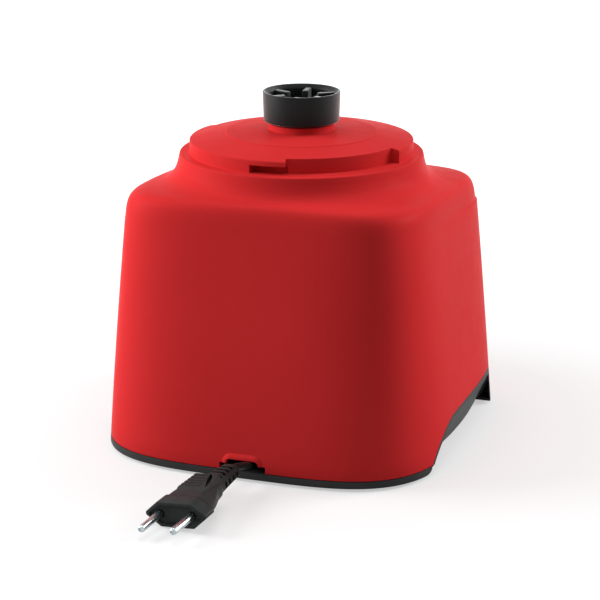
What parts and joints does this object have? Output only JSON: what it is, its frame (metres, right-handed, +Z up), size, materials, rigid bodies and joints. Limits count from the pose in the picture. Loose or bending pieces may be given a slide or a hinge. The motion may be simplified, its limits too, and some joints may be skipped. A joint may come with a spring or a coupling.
{
  "type": "blender motor base",
  "caption": "Motor base of a kitchen blender: tapered housing with bayonet jar seat, toothed drive coupling, rotary knob, inner motor, finger recesses, and a lead with its plug.",
  "frame": {"origin": "on the table under the middle of the housing's footprint; the drive axis is vertical, 7.7 mm behind it", "axes": "+Z up along the drive axis, +Y towards the front with the speed knob, +X to the right seen from behind"},
  "size_m": [0.1954, 0.3063, 0.1966],
  "materials": {
    "red_shell": "glossy moulded red",
    "charcoal_plastic": "satin charcoal",
    "black_plastic": "satin black",
    "black_rubber": "matt",
    "lead_sheath": "smooth flexible sheath",
    "nickel_pins": "bright nickel plate",
    "bright_steel": "ground",
    "zinc_steel": "zinc plated",
    "lamination_iron": "stacked sheet edges",
    "copper_wire": "enamelled winding",
    "copper_bars": "turned",
    "carbon": "pressed graphite",
    "fan_nylon": "natural moulded"
  },
  "bodies": {
    "base": {"base_screw_1": "zinc_steel", "base_screw_2": "zinc_steel", "base_screw_3": "zinc_steel", "base_screw_4": "zinc_steel", "base_tray": "charcoal_plastic", "brush_holder_back": "black_plastic", "brush_holder_front": "black_plastic", "brush_spring_back": "bright_steel", "brush_spring_front": "bright_steel", "clamp_screw": "zinc_steel", "cord_clamp": "black_plastic", "cord_tail": "lead_sheath", "cord_winding": "lead_sheath", "field_coil_left": "copper_wire", "field_coil_right": "copper_wire", "foot_1": "black_rubber", "foot_2": "black_rubber", "foot_3": "black_rubber", "foot_4": "black_rubber", "front_panel": "charcoal_plastic", "housing": "red_shell", "lower_bearing": "bright_steel", "motor_bolt_left": "zinc_steel", "motor_bolt_right": "zinc_steel", "motor_bottom_bracket": "zinc_steel", "motor_mount_1": "black_rubber", "motor_mount_2": "black_rubber", "motor_mount_3": "black_rubber", "motor_mount_4": "black_rubber", "motor_nut_left": "zinc_steel", "motor_nut_right": "zinc_steel", "motor_screw_1": "zinc_steel", "motor_screw_2": "zinc_steel", "motor_screw_3": "zinc_steel", "motor_screw_4": "zinc_steel", "motor_top_bracket": "zinc_steel", "plug_body": "black_plastic", "plug_pin_left": "nickel_pins", "plug_pin_right": "nickel_pins", "rotary_switch": "black_plastic", "shaft_seal": "black_rubber", "stator_core": "lamination_iron", "upper_bearing": "bright_steel"},
    "rotor": {"drive_coupling": "black_plastic", "coupling_insert": "zinc_steel", "motor_shaft": "bright_steel", "armature_core": "lamination_iron", "armature_winding_top": "copper_wire", "armature_winding_bottom": "copper_wire", "commutator": "copper_bars", "cooling_fan": "fan_nylon"},
    "knob": {"speed_knob": "charcoal_plastic", "switch_shaft": "zinc_steel"},
    "brush_front": {"carbon_brush_front": "carbon"},
    "brush_back": {"carbon_brush_back": "carbon"}
  },
  "joints": [
    {"name": "drive_spin", "type": "hinge", "parent": "base", "child": "rotor", "pos_m": [0, -0.0077, 0.18], "axis": [0, 0, 1], "continuous": true},
    {"name": "knob_turn", "type": "hinge", "parent": "base", "child": "knob", "pos_m": [0, 0.09805, 0.076], "axis": [0, -0.9944, -0.1061], "range_deg": [-45, 120]},
    {"name": "brush_front_slide", "type": "slide", "parent": "base", "child": "brush_front", "axis": [0, 1, 0], "range_m": [0, 0.003], "stiffness_N_per_m": 400, "springref_m": -0.004, "deforming": ["brush_spring_front"]},
    {"name": "brush_back_slide", "type": "slide", "parent": "base", "child": "brush_back", "axis": [0, -1, 0], "range_m": [0, 0.003], "stiffness_N_per_m": 400, "springref_m": -0.004, "deforming": ["brush_spring_back"]}
  ]
}
